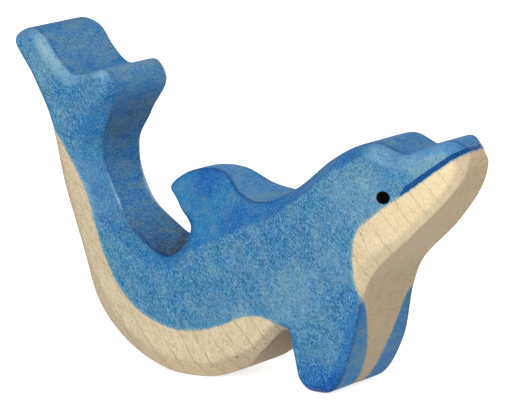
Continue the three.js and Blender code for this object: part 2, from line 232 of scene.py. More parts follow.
# Edge of the stain on the flank, in hundredths of length and height
BELLY_LINE = (
    (-44.5, 76.2), (-40.2, 71.1), (-35.7, 61.9), (-31.7, 49.6), (-28.1, 34.9), (-24.5, 25.0),
    (-19.1, 17.8), (-10.1, 14.0), (-1.1, 16.8), (3.9, 20.2), (8.6, 21.1), (13.6, 18.2),
)
CHEEK_LINE = (
    (31.9, 27.9), (30.1, 31.0), (29.2, 36.6), (28.9, 43.2), (29.4, 48.5), (30.3, 50.9),
    (33.4, 54.9), (36.0, 58.1), (40.2, 62.4), (45.1, 68.4), (49.1, 73.2), (53.0, 77.4),
)
STAIN_MARGIN = 1.0
PAST_THE_WOOD = 20.0

# Bare wood on the fin's front face: half widths at heights, in hundredths of thickness and height
FIN_MIDDLE_X = 0.218 * LENGTH
BARE_FRONT = ((8, -6), (11, 5), (16.5, 12.5), (21.5, 16.5), (33, 25.4), (39, 28.2), (45, 29.4), (45, 36))
REAR_BARE_HALF = 0.375 * THICKNESS

# Directions of the wood's grain, of its growth rings and of the saw marks
GRAIN_ANGLE = math.radians(-54)
RING_TILT = math.radians(7)
SAW_TILT = math.radians(-15)

# Sizes of the wood's patterns in mm: along the grain, through the board, and across the grain
FLECK_SIZE = (0.55, 1.0, 0.1)
PORE_SIZE = (0.8, 1.0, 0.1)
CLOUD_SIZE = (6, 4, 4)
BLEED_SIZE = (2.0, 0.6, 0.4)
BLEED_REACH = 0.8
RING_SPACING = 4.3

# Sizes in mm of the marks on sawn faces, lengthwise, through the board and upwards
SAW_MARK_SIZE = (0.15, 4, 0.15)
STREAK_SIZE = (2.5, 10, 2.5)

# Half a cell through the board, which keeps both flanks off the noise's layers, and another place in it
HALF_CELL = (0, 0.5, 0)
GREY_OFFSET = (11.3, 7.9, 23.7)

# Where the bare wood turns paler and more cream-coloured towards the nose, partly its own tone and partly
# painted light on the nose's sides that turn from the lamps, and greyer towards the tail, and the pin
# knot, in mm
CREAM_AND_LIGHT_FROM, CREAM_AND_LIGHT_TO = 30, 65
TAIL_FROM, TAIL_TO = -15, -55
KNOT_PLACE = Vector((3.3, 0, 6.7))
KNOT_RADIUS, KNOT_CORE = 0.4, 0.15

# Depth in mm of open grain and saw marks, and of the marks that the bristles leave in paint
WOOD_RELIEF = 0.04
PAINT_RELIEF = 0.02

# Bristle marks in mm, and how they lie along the mouth
BRISTLE_SIZE = (2, 0.5, 1 / 3)
BRISTLE_ANGLE = math.radians(40)
BRISTLE_ROUGHNESS = 0.08

# Sockets of Blender's Mix node when it mixes colours
MIX_A, MIX_B = 6, 7
COLOUR_MIX = {"out": 2, "data_type": "RGBA"}


def on_profile(shares):
    """Turns hundredths of length and height into millimetres."""
    return np.array(shares, float) * (LENGTH / 100, HEIGHT / 100)


def smooth_step(value, start, end):
    """Goes from 0 at start to 1 at end without a kink."""
    share = np.clip((value - start) / (end - start), 0, 1)
    return share * share * (3 - 2 * share)


def soft_positive(value, width):
    """The positive part of a value, with its kink at 0 rounded over a width."""
    rounded = np.square(np.clip(value + width, 0, None)) / (4 * width)
    return np.where(value > width, value, rounded)


def bend(a, corner, b, share):
    """A place on the round between two points that share a corner."""
    return (1 - share) ** 2 * a + 2 * share * (1 - share) * corner + share**2 * b


def spline(knots, steps, closed=False):
    """Points on a smooth line through the knots, as a centripetal Catmull-Rom curve."""
    knots = np.array(knots, float)
    if closed:
        before, after = knots[-1], knots[:2]
    else:
        before, after = 2 * knots[0] - knots[1], 2 * knots[-1:] - knots[-2]
    ring = np.vstack([before, knots, after])
    share = np.arange(steps)[:, None] / steps
    pieces = []
    for a, b, c, d in zip(ring, ring[1:], ring[2:], ring[3:]):
        ab, bc, cd = (math.sqrt(np.linalg.norm(q - p)) for p, q in ((a, b), (b, c), (c, d)))
        leave = ((b - a) / ab - (c - a) / (ab + bc) + (c - b) / bc) * bc
        arrive = ((c - b) / bc - (d - b) / (bc + cd) + (d - c) / cd) * bc
        square, cube = share**2, share**3
        pieces.append(
            (2 * cube - 3 * square + 1) * b + (cube - 2 * square + share) * leave
            + (3 * square - 2 * cube) * c + (cube - square) * arrive
        )
    return np.vstack(pieces if closed else [*pieces, knots[-1:]])


def signed_distance(points, polygon):
    """Distance of each point to a closed polygon's edge, positive inside it."""
    best = np.full(len(points), np.inf)
    inside = np.zeros(len(points), bool)
    for a, b in zip(polygon, np.roll(polygon, -1, axis=0)):
        edge, reach = b - a, points - a
        share = np.clip(reach @ edge / max(edge @ edge, 1e-12), 0, 1)
        best = np.minimum(best, np.linalg.norm(reach - share[:, None] * edge, axis=1))
        crosses = (a[1] > points[:, 1]) != (b[1] > points[:, 1])
        height = np.where(crosses, points[:, 1] - a[1], 0) / (edge[1] if edge[1] else 1)
        inside ^= crosses & (points[:, 0] < a[0] + height * edge[0])
    return np.where(inside, best, -best)


dorsal_rear, dorsal_front = on_profile(DORSAL_LINE_REAR), on_profile(DORSAL_LINE_FRONT)
dorsal_along = (dorsal_front - dorsal_rear) / np.linalg.norm(dorsal_front - dorsal_rear)
dorsal_up = np.array((-dorsal_along[1], dorsal_along[0]))

taper = np.linspace(0, 1, NOSE_STEPS)
nose_x = bend(NOSE_TAPER_START, NOSE_TAPER_BEND, NOSE_TAPER_END, taper)
nose_half = bend(HALF_BOARD, HALF_BOARD, NOSE_TIP_HALF, taper)


def dorsal_fade(points):
    """1 beside the dorsal fin, 0 beyond both of its ends."""
    along = (points - dorsal_rear) @ dorsal_along
    return smooth_step(along, *DORSAL_FADE_REAR) * (1 - smooth_step(along, *DORSAL_FADE_FRONT))


def above_dorsal_line(points):
    """Signed distance above the line from which the dorsal fin leans in."""
    return (points - dorsal_rear) @ dorsal_up


def flank_half(points):
    """Half thickness of the wood at places on the profile, before the edges are sanded."""
    above = above_dorsal_line(points)
    lean = DORSAL_LEAN * soft_positive(above, LINE_ROUND) * dorsal_fade(points)
    return np.interp(points[:, 0], nose_x, nose_half) - np.where(above < DORSAL_REACH, lean, 0)


def draw_outline():
    """Even points on the sawn profile, the direction into the wood, and each stretch's facet values."""
    knots = np.vstack([on_profile(points) for *_, points in PROFILE])
    values = np.vstack([[facet] * len(points) for *facet, points in PROFILE]).astype(float)
    values[:, :2] *= THICKNESS / 100
    fine = spline(knots, PROFILE_STEPS, closed=True)
    share = smooth_step(np.tile(np.arange(PROFILE_STEPS) / PROFILE_STEPS, len(knots)), 0, 1)[:, None]
    start = np.repeat(values, PROFILE_STEPS, axis=0)
    end = np.repeat(np.roll(values, -1, axis=0), PROFILE_STEPS, axis=0)
    columns = np.hstack([fine, start + (end - start) * share])
    columns = np.vstack([columns, columns[:1]])
    run = np.concatenate([[0], np.cumsum(np.linalg.norm(np.diff(columns[:, :2], axis=0), axis=1))])
    places = np.arange(0, run[-1], run[-1] / round(run[-1] / OUTLINE_STEP))
    even = np.stack([np.interp(places, run, column) for column in columns.T], -1)
    even[:, 1] = soft_positive(even[:, 1], GROUND_ROUND)
    outline = np.clip(even[:, :2], (-LENGTH / 2, 0), (LENGTH / 2, HEIGHT))
    along = np.roll(outline, -1, axis=0) - np.roll(outline, 1, axis=0)
    along /= np.linalg.norm(along, axis=1)[:, None]
    inward = np.stack([-along[:, 1], along[:, 0]], -1)
    waves = [noise.noise(Vector((x, 0, z)) / FACET_WOBBLE_LENGTH) for x, z in outline]
    wobble = 1 + FACET_WOBBLE * np.array(waves)
    cut, depth, *others = even.T[2:]
    return outline, inward, cut * wobble, depth * wobble, *others


def edge_section(cut, depth, flank_round):
    """The sanded edge from the sawn face to the flank: distances in from the outline, drops below
    the flank, and how much each place belongs to the sawn face, to the crease and to the facet."""
    slant = np.hypot(cut, depth)
    at_sawn = np.minimum(SAWN_ROUND, ROUND_SHARE * slant)
    at_flank = np.minimum(flank_round, ROUND_SHARE * slant)
    to_flank, to_sawn = cut / slant, depth / slant
    none = np.zeros_like(cut)
    rows = []
    for share, crease in SAWN_ROUND_LOOPS:
        inset = bend(none, none, at_sawn * to_flank, share)
        drop = bend(depth + at_sawn, depth, depth - at_sawn * to_sawn, share)
        rows.append((inset, drop, 1 - share, crease, share))
    first, last = at_sawn / slant, 1 - at_flank / slant
    for share in FACET_LOOPS:
        place = first + (last - first) * share
        rows.append((cut * place, depth * (1 - place), 0, 0, 1))
    for share in FLANK_ROUND_LOOPS:
        inset = bend(cut - at_flank * to_flank, cut, cut + at_flank, share)
        drop = bend(at_flank * to_sawn, none, none, share)
        rows.append((inset, drop, 0, 0, 1 - share))
    return rows


def new_object(name, bm, material):
    """Turns a finished mesh in millimetres into a smooth piece in metres."""
    bmesh.ops.scale(bm, vec=Vector((MM, MM, MM)), verts=bm.verts)
    mesh = bpy.data.meshes.new(name)
    bm.to_mesh(mesh)
    bm.free()
    mesh.shade_smooth()
    mesh.materials.append(material)
    piece = bpy.data.objects.new(name, mesh)
    bpy.context.scene.collection.objects.link(piece)
    return piece


def carve_board():
    """The carved board as a mesh: loops run round its edge from the sawn face to the flank, a fine
    grid covers the flank, and the other half is its mirror image."""
    outline, inward, cut, depth, flank_round, smooth, facet_tone, crease_tone, sawn_tone = draw_outline()
    bm = bmesh.new()
    station = bm.verts.layers.int.new("station")
    layers = [bm.verts.layers.float.new(name) for name in ("sawn", "sanded", "tone", "crease")]

    def settle(verts, places, half, finish):
        for vert in verts:
            i = vert[station]
            vert.co = (places[i, 0], half[i], max(places[i, 1], 0))
            for layer, values in zip(layers, finish):
                vert[layer] = values[i]

    def next_loop(edges, places, half, finish):
        made = bmesh.ops.extrude_edge_only(bm, edges=edges)["geom"]
        settle([g for g in made if isinstance(g, bmesh.types.BMVert)], places, half, finish)
        return [g for g in made if isinstance(g, bmesh.types.BMEdge) and is_along(g)]

    def is_along(edge):
        return edge.verts[0][station] != edge.verts[1][station]

    verts = [bm.verts.new((0, 0, 0)) for _ in outline]
    for i, vert in enumerate(verts):
        vert[station] = i
    first_edges = [bm.edges.new((a, b)) for a, b in zip(verts, verts[1:] + verts[:1])]
    edges = first_edges
    fully, none = np.ones(len(outline)), np.zeros(len(outline))
    for k, (inset, drop, on_sawn, on_crease, on_facet) in enumerate(edge_section(cut, depth, flank_round)):
        places = outline + inward * inset[:, None]
        half = flank_half(places) - drop
        # On sawn faces the tone is partly painted shade where they are stained and hollow, and painted
        # shade alone where they are bare; a crease tone below 0 is a painted highlight
        tone = on_sawn * sawn_tone + on_facet * facet_tone
        finish = (on_sawn * fully, on_facet * smooth, tone, on_crease * crease_tone)
        if k:
            edges = next_loop(edges, places, half, finish)
        else:
            settle(verts, places, half, finish)
            face_half = half
    edges_in, edges = edges, first_edges
    for reach, share in CREASE_FADE:
        edges = next_loop(edges, outline, face_half - reach, (fully, none, sawn_tone, share * crease_tone))
    inner_half = face_half - CREASE_FADE[-1][0]
    for band in range(1, WALL_BANDS + 1):
        half = inner_half * (1 - band / WALL_BANDS)
        edges = next_loop(edges, outline, half, (fully, none, sawn_tone, none))

    flank = bmesh.ops.edgeloop_fill(bm, edges=edges_in)["faces"]
    cuts = [((x, 0, 0), (1, 0, 0)) for x in np.arange(-LENGTH / 2, LENGTH / 2, FLANK_STEP)]
    cuts += [((0, 0, z), (0, 0, 1)) for z in np.arange(FLANK_STEP / 2, HEIGHT, FLANK_STEP)]
    for offset in DORSAL_CUTS:
        place = dorsal_rear + dorsal_up * offset * LINE_ROUND
        cuts.append(((place[0], 0, place[1]), (dorsal_up[0], 0, dorsal_up[1])))
    geom = flank + [e for f in flank for e in f.edges] + [v for f in flank for v in f.verts]
    edge_verts = {v for f in flank for v in f.verts}
    for place, direction in cuts:
        cut_once = bmesh.ops.bisect_plane(bm, geom=geom, dist=CUT_SNAP, plane_co=place, plane_no=direction)
        geom = cut_once["geom"]
    inner = [g for g in geom if isinstance(g, bmesh.types.BMVert) and g not in edge_verts]
    places = np.array([(v.co.x, v.co.z) for v in inner])
    for vert, half in zip(inner, flank_half(places)):
        vert.co.y = half
        for layer in layers:
            vert[layer] = 0

    everything = bm.verts[:] + bm.edges[:] + bm.faces[:]
    bmesh.ops.mirror(bm, geom=everything, merge_dist=MIRROR_SNAP, axis="Y")
    bmesh.ops.recalc_face_normals(bm, faces=bm.faces[:])
    return bm


def stained_room():
    """Outline of the stained region on the profile, reaching past the wood where nothing bounds it."""
    belly, cheek = (spline(on_profile(line), STAIN_STEPS) for line in (BELLY_LINE, CHEEK_LINE))
    rear, front = -LENGTH / 2 - PAST_THE_WOOD, LENGTH / 2 + PAST_THE_WOOD
    bottom, top = -PAST_THE_WOOD, HEIGHT + PAST_THE_WOOD
    corners = (
        (belly[-1, 0] - STAIN_MARGIN, bottom), (front, bottom), (front, cheek[0, 1] - STAIN_MARGIN),
        *cheek, (cheek[-1, 0], top), (rear, top), (rear, belly[0, 1]),
    )
    return np.vstack([belly, corners])


def stain_distance(places):
    """Distance from the stain's edge, positive on stained wood, for places in the round."""
    distance = signed_distance(places[:, (0, 2)], stained_room())
    across = np.stack([np.abs(places[:, 1]), places[:, 2]], -1)
    front = spline(np.array(BARE_FRONT, float) * (THICKNESS / 100, HEIGHT / 100), FIN_FRONT_STEPS)
    front = np.vstack([front, (-THICKNESS, front[-1, 1]), (-THICKNESS, front[0, 1])])
    in_front = places[:, 0] > FIN_MIDDLE_X
    distance = np.where(in_front, np.minimum(distance, -signed_distance(across, front)), distance)
    notch_x, notch_z = on_profile(BELLY_LINE[-1])
    past_notch = (places[:, 0] > notch_x - STAIN_MARGIN) & (places[:, 2] < notch_z + STAIN_MARGIN)
    behind = ~in_front & past_notch
    return np.where(behind, np.minimum(distance, across[:, 0] - REAR_BARE_HALF), distance)


def patch_finish(profile):
    """How much deeper and smoother the patches are, at places on the profile."""
    finish = np.zeros((len(profile), 2))
    full, gone = PATCH_FADE
    for x, z, radius, *amounts in PATCHES:
        reach = np.linalg.norm(profile - on_profile((x, z)), axis=1)
        finish += (1 - smooth_step(reach, full * radius, gone * radius))[:, None] * amounts
    return finish


def colour(hex_code):
    """Linear colour of an sRGB hex value."""
    parts = [int(hex_code[i:i + 2], 16) / 255 for i in (1, 3, 5)]
    return (*(c / 12.92 if c <= 0.04045 else ((c + 0.055) / 1.055) ** 2.4 for c in parts), 1)


def per(size, unit=1):
    """How many of a pattern's cells, of a size in millimetres, fit in each unit of length."""
    return tuple(1 / (side * unit) for side in size)


def new_material(name):
    """An empty node material and its tree."""
    material = bpy.data.materials.new(name)
    material.use_nodes = True
    material.node_tree.nodes.clear()
    return material, material.node_tree


def add(tree, kind, inputs=None, out=0, **settings):
    """Adds a node with its settings, links or sets its inputs, and gives back one of its outputs."""
    node = tree.nodes.new(kind)
    for name, value in settings.items():
        setattr(node, name, value)
    for name, value in (inputs or {}).items():
        if isinstance(value, bpy.types.NodeSocket):
            tree.links.new(value, node.inputs[name])
        else:
            node.inputs[name].default_value = value
    return node.outputs[out] if len(node.outputs) else None


def make_stained_maple():
    """Sanded maple under a thin blue water stain. Wood and stain are satin at most, because water stain
    leaves no film. Rays cut lengthwise show as short flecks along the grain, growth rings as thin brown
    lines, and the stain is smoother and deeper on sanded edges, greyer and streaked on sawn faces."""
    material, tree = new_material("stained_maple")
    place = add(tree, "ShaderNodeTexCoord", out="Object")
    in_mm = {"Vector": place, "Scale": per((1, 1, 1), MM)}
    grain = add(tree, "ShaderNodeMapping", {**in_mm, "Rotation": (0, GRAIN_ANGLE, 0)})
    stain, sawn, sanded, tone, crease, dorsal = (
        add(tree, "ShaderNodeAttribute", out="Fac", attribute_name=name)
        for name in ("stain", "sawn", "sanded", "tone", "crease", "dorsal")
    )

    # Ray flecks, darker or paler than the wood, drawn twice as wide as real ones so that they show
    fleck_place = add(tree, "ShaderNodeVectorMath", {0: grain, 1: per(FLECK_SIZE), 2: HALF_CELL},
                      operation="MULTIPLY_ADD")
    flecks = add(tree, "ShaderNodeTexNoise", {"Vector": fleck_place, "Scale": 1.0, "Detail": 0.0}, "Fac")
    dark = add(tree, "ShaderNodeMapRange", {"Value": flecks, "From Min": 0.5, "From Max": 0.2})
    pale = add(tree, "ShaderNodeMapRange", {"Value": flecks, "From Min": 0.5, "From Max": 0.8})

    # Cloudy patches of stain, some millimetres across, and greyer ones
    cloud_place = add(tree, "ShaderNodeVectorMath", {0: grain, 1: per(CLOUD_SIZE)}, operation="MULTIPLY")
    clouds = add(tree, "ShaderNodeTexNoise",
                 {"Vector": cloud_place, "Scale": 1.0, "Detail": 4.0, "Roughness": 0.5}, "Fac")
    cloud = add(tree, "ShaderNodeMapRange", {"Value": clouds, "From Min": 0.24, "From Max": 0.76})
    grey_place = add(tree, "ShaderNodeVectorMath", {0: cloud_place, 1: GREY_OFFSET}, operation="ADD")
    greys = add(tree, "ShaderNodeTexNoise",
                {"Vector": grey_place, "Scale": 1.3, "Detail": 3.0, "Roughness": 0.6}, "Fac")
    grey = add(tree, "ShaderNodeMapRange", {"Value": greys, "From Min": 0.44, "From Max": 0.7})

    # Saw marks run across the board, a little askew, drawn coarser than a fine blade's so that they show
    saw_place = add(tree, "ShaderNodeMapping", {**in_mm, "Rotation": (SAW_TILT, 0, 0)})
    saw_place = add(tree, "ShaderNodeVectorMath", {0: saw_place, 1: per(SAW_MARK_SIZE)},
                    operation="MULTIPLY")
    saw_noise = add(tree, "ShaderNodeTexNoise", {"Vector": saw_place, "Scale": 1.0, "Detail": 2.0}, "Fac")
    saw_mark = add(tree, "ShaderNodeMapRange", {"Value": saw_noise, "From Min": 0.35, "From Max": 0.65})

    # Greyer streaks of stain across the sawn faces
    streak_place = add(tree, "ShaderNodeMapping", {"Vector": place, "Scale": per(STREAK_SIZE, MM)})
    streaks = add(tree, "ShaderNodeTexNoise",
                  {"Vector": streak_place, "Scale": 1.0, "Detail": 2.0, "Roughness": 0.6}, "Fac")
    streak = add(tree, "ShaderNodeMapRange",
                 {"Value": streaks, "From Min": 0.44, "From Max": 0.66, "To Max": 0.7})

    # Growth rings, drawn as thin lines that break up; at a scale of 1 the node's waves are pi / 10 apart
    ring_place = add(tree, "ShaderNodeMapping", {"Vector": grain, "Rotation": (RING_TILT, 0, 0)})
    ring_wave = add(tree, "ShaderNodeTexWave",
                    {"Vector": ring_place, "Scale": math.pi / 10 / RING_SPACING, "Distortion": 2.0,
                     "Detail": 2.0, "Detail Scale": 1.5}, "Fac", bands_direction="Z")
    ring_line = add(tree, "ShaderNodeMapRange", {"Value": ring_wave, "From Min": 0.96, "From Max": 1.0})
    on_flank = add(tree, "ShaderNodeMapRange", {"Value": sawn, "To Min": 1.0, "To Max": 0.25})
    broken = add(tree, "ShaderNodeMapRange",
                 {"Value": cloud, "From Min": 0.2, "From Max": 0.6, "To Min": 0.4})
    ring = add(tree, "ShaderNodeMath", {0: ring_line, 1: broken}, operation="MULTIPLY")
    ring = add(tree, "ShaderNodeMath", {0: ring, 1: on_flank}, operation="MULTIPLY")

    # Stained faces: flecked flank, smoother sanded edges and dorsal sides, streaked sawn faces
    on_dorsal = add(tree, "ShaderNodeMapRange", {"Value": dorsal, "From Min": -0.2, "From Max": 0.4})
    smooth = add(tree, "ShaderNodeMath", {0: sanded, 1: on_dorsal}, operation="MAXIMUM")
    flank = add(tree, "ShaderNodeMix", {0: cloud, MIX_A: colour("#2573AE"), MIX_B: colour("#4486A6")},
                **COLOUR_MIX)
    edge = add(tree, "ShaderNodeMix", {0: cloud, MIX_A: colour("#0E66B0"), MIX_B: colour("#3084AE")},
               **COLOUR_MIX)
    blue = add(tree, "ShaderNodeMix", {0: smooth, MIX_A: flank, MIX_B: edge}, **COLOUR_MIX)
    wall = add(tree, "ShaderNodeMix", {0: saw_mark, MIX_A: colour("#0864B2"), MIX_B: colour("#3092D2")},
               **COLOUR_MIX)
    wall = add(tree, "ShaderNodeMix", {0: streak, MIX_A: wall, MIX_B: colour("#6898AE")}, **COLOUR_MIX)
    blue = add(tree, "ShaderNodeMix", {0: sawn, MIX_A: blue, MIX_B: wall}, **COLOUR_MIX)
    thin = add(tree, "ShaderNodeMix", {0: sawn, MIX_A: colour("#7F9A9E"), MIX_B: colour("#728CA4")},
               **COLOUR_MIX)
    even = add(tree, "ShaderNodeMath", {0: sawn, 1: smooth}, operation="MAXIMUM")
    grey_share = add(tree, "ShaderNodeMapRange", {"Value": even, "To Min": 0.45, "To Max": 0.3})
    grey_share = add(tree, "ShaderNodeMath", {0: grey, 1: grey_share}, operation="MULTIPLY")
    blue = add(tree, "ShaderNodeMix", {0: grey_share, MIX_A: blue, MIX_B: thin}, **COLOUR_MIX)

    # Deeper and paler patches, broken up by the clouds. On sawn faces the deep colour is a near-black
    # navy, partly deeper stain in the end grain and partly painted shade in the hollows
    uneven = add(tree, "ShaderNodeMapRange",
                 {"Value": clouds, "From Min": 0.3, "From Max": 0.7, "To Min": 0.65, "To Max": 1.35})
    stain_depth_and_shade = add(tree, "ShaderNodeMath", {0: tone, 1: uneven}, operation="MULTIPLY", use_clamp=True)
    faded = add(tree, "ShaderNodeMath", {0: tone, 1: -1.0}, operation="MULTIPLY")
    pale_share = add(tree, "ShaderNodeMath", {0: faded, 1: uneven}, operation="MULTIPLY", use_clamp=True)
    # Deep colour: blue on facets and flanks, and on sawn faces a dark navy that is partly painted shade
    deep = add(tree, "ShaderNodeMix", {0: sawn, MIX_A: colour("#0656A8"), MIX_B: colour("#10243E")},
               **COLOUR_MIX)
    blue = add(tree, "ShaderNodeMix", {0: stain_depth_and_shade, MIX_A: blue, MIX_B: deep}, **COLOUR_MIX)
    worn = add(tree, "ShaderNodeMix", {0: smooth, MIX_A: colour("#A2BCBE"), MIX_B: colour("#90C4EE")},
               **COLOUR_MIX)
    blue = add(tree, "ShaderNodeMix", {0: pale_share, MIX_A: blue, MIX_B: worn}, **COLOUR_MIX)

    # Flecks, fainter where the edge is sanded smooth
    fleck_share = add(tree, "ShaderNodeMapRange", {"Value": even, "To Min": 1.0, "To Max": 0.5})
    fleck_on_sawn = add(tree, "ShaderNodeMapRange", {"Value": sawn, "To Min": 1.0, "To Max": 0.8})
    fleck_share = add(tree, "ShaderNodeMath", {0: fleck_share, 1: fleck_on_sawn}, operation="MULTIPLY")
    dark_share = add(tree, "ShaderNodeMath", {0: dark, 1: fleck_share}, operation="MULTIPLY")
    light_share = add(tree, "ShaderNodeMath", {0: pale, 1: fleck_share}, operation="MULTIPLY")
    blue = add(tree, "ShaderNodeMix", {0: dark_share, MIX_A: blue, MIX_B: colour("#7EAAC4")},
               **COLOUR_MIX, blend_type="MULTIPLY")
    blue = add(tree, "ShaderNodeMix", {0: light_share, MIX_A: blue, MIX_B: colour("#7CB2CC")},
               **COLOUR_MIX)

    # Along the creases stain gathers as a dark line; where the crease value is below 0, a pale blue
    # painted highlight is laid along the crease instead
    gathered = add(tree, "ShaderNodeMath", {0: crease, 1: uneven}, operation="MULTIPLY", use_clamp=True)
    highlight_level = add(tree, "ShaderNodeMath", {0: crease, 1: -1.0}, operation="MULTIPLY")
    crease_highlight = add(tree, "ShaderNodeMath", {0: highlight_level, 1: uneven}, operation="MULTIPLY", use_clamp=True)
    crease_highlight = add(tree, "ShaderNodeMapRange", {"Value": crease_highlight, "From Min": 0.4, "From Max": 0.75})
    blue = add(tree, "ShaderNodeMix", {0: gathered, MIX_A: blue, MIX_B: colour("#104484")}, **COLOUR_MIX)
    blue = add(tree, "ShaderNodeMix", {0: crease_highlight, MIX_A: blue, MIX_B: colour("#A8CDE6")}, **COLOUR_MIX)

    # Bare maple: paler and cream-coloured towards the nose, partly its own tone and partly painted light
    # on the tapered nose, tan on the belly, greyer on the tail
    along = add(tree, "ShaderNodeSeparateXYZ", {0: place}, "X")
    cream_and_light = add(tree, "ShaderNodeMapRange",
                 {"Value": along, "From Min": CREAM_AND_LIGHT_FROM * MM, "From Max": CREAM_AND_LIGHT_TO * MM})
    bare = add(tree, "ShaderNodeMix", {0: cream_and_light, MIX_A: colour("#E2D3B4"), MIX_B: colour("#FAE6BC")},
               **COLOUR_MIX)
    tail_end = add(tree, "ShaderNodeMapRange",
                   {"Value": along, "From Min": TAIL_FROM * MM, "From Max": TAIL_TO * MM})
    bare = add(tree, "ShaderNodeMix", {0: tail_end, MIX_A: bare, MIX_B: colour("#D2C6AC")}, **COLOUR_MIX)
    rosy = add(tree, "ShaderNodeMath", {0: grey, 1: 0.6}, operation="MULTIPLY")
    bare = add(tree, "ShaderNodeMix", {0: rosy, MIX_A: bare, MIX_B: colour("#F4E9EC")},
               **COLOUR_MIX, blend_type="MULTIPLY")
    bare_edge = add(tree, "ShaderNodeMath", {0: sanded, 1: 0.75}, operation="MULTIPLY")
    bare = add(tree, "ShaderNodeMix", {0: bare_edge, MIX_A: bare, MIX_B: colour("#D6C4A8")}, **COLOUR_MIX)

    # Its pores, a little wider than real ones so that they show, and its rings
    pore_place = add(tree, "ShaderNodeVectorMath", {0: grain, 1: per(PORE_SIZE), 2: HALF_CELL},
                     operation="MULTIPLY_ADD")
    pores = add(tree, "ShaderNodeTexNoise", {"Vector": pore_place, "Scale": 1.0, "Detail": 0.0}, "Fac")
    pore = add(tree, "ShaderNodeMapRange", {"Value": pores, "From Min": 0.6, "From Max": 0.25})
    pore_level = add(tree, "ShaderNodeMapRange", {"Value": sawn, "To Min": 1.0, "To Max": 0.3})
    pore_share = add(tree, "ShaderNodeMath", {0: pore, 1: pore_level}, operation="MULTIPLY")
    pore_cream = add(tree, "ShaderNodeMapRange", {"Value": cream_and_light, "To Min": 1.0, "To Max": 0.5})
    pore_share = add(tree, "ShaderNodeMath", {0: pore_share, 1: pore_cream}, operation="MULTIPLY")
    bare = add(tree, "ShaderNodeMix", {0: pore_share, MIX_A: bare, MIX_B: colour("#DCD0B8")},
               **COLOUR_MIX, blend_type="MULTIPLY")
    ring_level = add(tree, "ShaderNodeMapRange", {"Value": cream_and_light, "To Min": 0.42, "To Max": 0.18})
    ring_share = add(tree, "ShaderNodeMath", {0: ring, 1: ring_level}, operation="MULTIPLY")
    ring_tail = add(tree, "ShaderNodeMapRange", {"Value": tail_end, "To Min": 1.0, "To Max": 0.3})
    ring_share = add(tree, "ShaderNodeMath", {0: ring_share, 1: ring_tail}, operation="MULTIPLY")
    bare = add(tree, "ShaderNodeMix", {0: ring_share, MIX_A: bare, MIX_B: colour("#94754E")}, **COLOUR_MIX)

    # Bare sawn faces are browner along the saw marks, and painted shade darkens them towards a shaded
    # brown by their tone, most in the notch behind the fin
    bare_saw = add(tree, "ShaderNodeMapRange", {"Value": saw_mark, "To Min": 0.2, "To Max": 0.65})
    bare_saw = add(tree, "ShaderNodeMath", {0: bare_saw, 1: sawn}, operation="MULTIPLY")
    bare = add(tree, "ShaderNodeMix", {0: bare_saw, MIX_A: bare, MIX_B: colour("#B49276")}, **COLOUR_MIX)
    # Painted shade on the bare sawn faces
    painted_shade = add(tree, "ShaderNodeMath", {0: stain_depth_and_shade, 1: sawn}, operation="MULTIPLY")
    bare = add(tree, "ShaderNodeMix", {0: painted_shade, MIX_A: bare, MIX_B: colour("#6E5A40")}, **COLOUR_MIX)

    # A pin knot in the belly's sanded edge
    knot_place = add(tree, "ShaderNodeVectorMath", {0: place, 1: (1, 0, 1)}, operation="MULTIPLY")
    knot_reach = add(tree, "ShaderNodeVectorMath", {0: knot_place, 1: KNOT_PLACE * MM}, "Value",
                     operation="DISTANCE")
    knot = add(tree, "ShaderNodeMapRange",
               {"Value": knot_reach, "From Min": KNOT_RADIUS * MM, "From Max": KNOT_CORE * MM})
    bare = add(tree, "ShaderNodeMix", {0: knot, MIX_A: bare, MIX_B: colour("#7E6850")}, **COLOUR_MIX)

    # The stain bleeds a little along the grain at its edge and is thin there
    bleed_place = add(tree, "ShaderNodeVectorMath", {0: grain, 1: per(BLEED_SIZE)}, operation="MULTIPLY")
    bleed = add(tree, "ShaderNodeTexNoise", {"Vector": bleed_place, "Scale": 1.0, "Detail": 2.0}, "Fac")
    ragged = add(tree, "ShaderNodeMath", {0: bleed, 1: -0.5}, operation="ADD")
    edge_place = add(tree, "ShaderNodeMath", {0: ragged, 1: BLEED_REACH, 2: stain},
                     operation="MULTIPLY_ADD")
    fringe = add(tree, "ShaderNodeMapRange",
                 {"Value": edge_place, "From Min": 1.1, "From Max": 0.1, "To Max": 0.65},
                 interpolation_type="SMOOTHSTEP")
    uneven_fringe = add(tree, "ShaderNodeMapRange", {"Value": grey, "To Min": 0.3})
    fringe = add(tree, "ShaderNodeMath", {0: fringe, 1: uneven_fringe}, operation="MULTIPLY")
    blue = add(tree, "ShaderNodeMix", {0: fringe, MIX_A: blue, MIX_B: colour("#94BABA")}, **COLOUR_MIX)
    covered = add(tree, "ShaderNodeMapRange", {"Value": edge_place, "From Min": -0.35, "From Max": 0.3},
                  interpolation_type="SMOOTHSTEP")
    both = add(tree, "ShaderNodeMix", {0: covered, MIX_A: bare, MIX_B: blue}, **COLOUR_MIX)

    # Dark flecks are open grain, lower and rougher than the sanded wood; saw marks stand as relief
    hollow = add(tree, "ShaderNodeMath", {0: dark, 1: -0.5}, operation="MULTIPLY")
    saw_share = add(tree, "ShaderNodeMath", {0: saw_mark, 1: sawn}, operation="MULTIPLY")
    relief = add(tree, "ShaderNodeMath", {0: saw_share, 1: 0.5, 2: hollow}, operation="MULTIPLY_ADD")
    bump = add(tree, "ShaderNodeBump", {"Height": relief, "Strength": 0.35, "Distance": WOOD_RELIEF * MM})
    rough = add(tree, "ShaderNodeMapRange", {"Value": dark, "To Min": 0.52, "To Max": 0.66})
    shader = add(tree, "ShaderNodeBsdfPrincipled",
                 {"Base Color": both, "Roughness": rough, "IOR": 1.45, "Specular IOR Level": 0.1,
                  "Normal": bump})
    add(tree, "ShaderNodeOutputMaterial", {"Surface": shader})
    return material


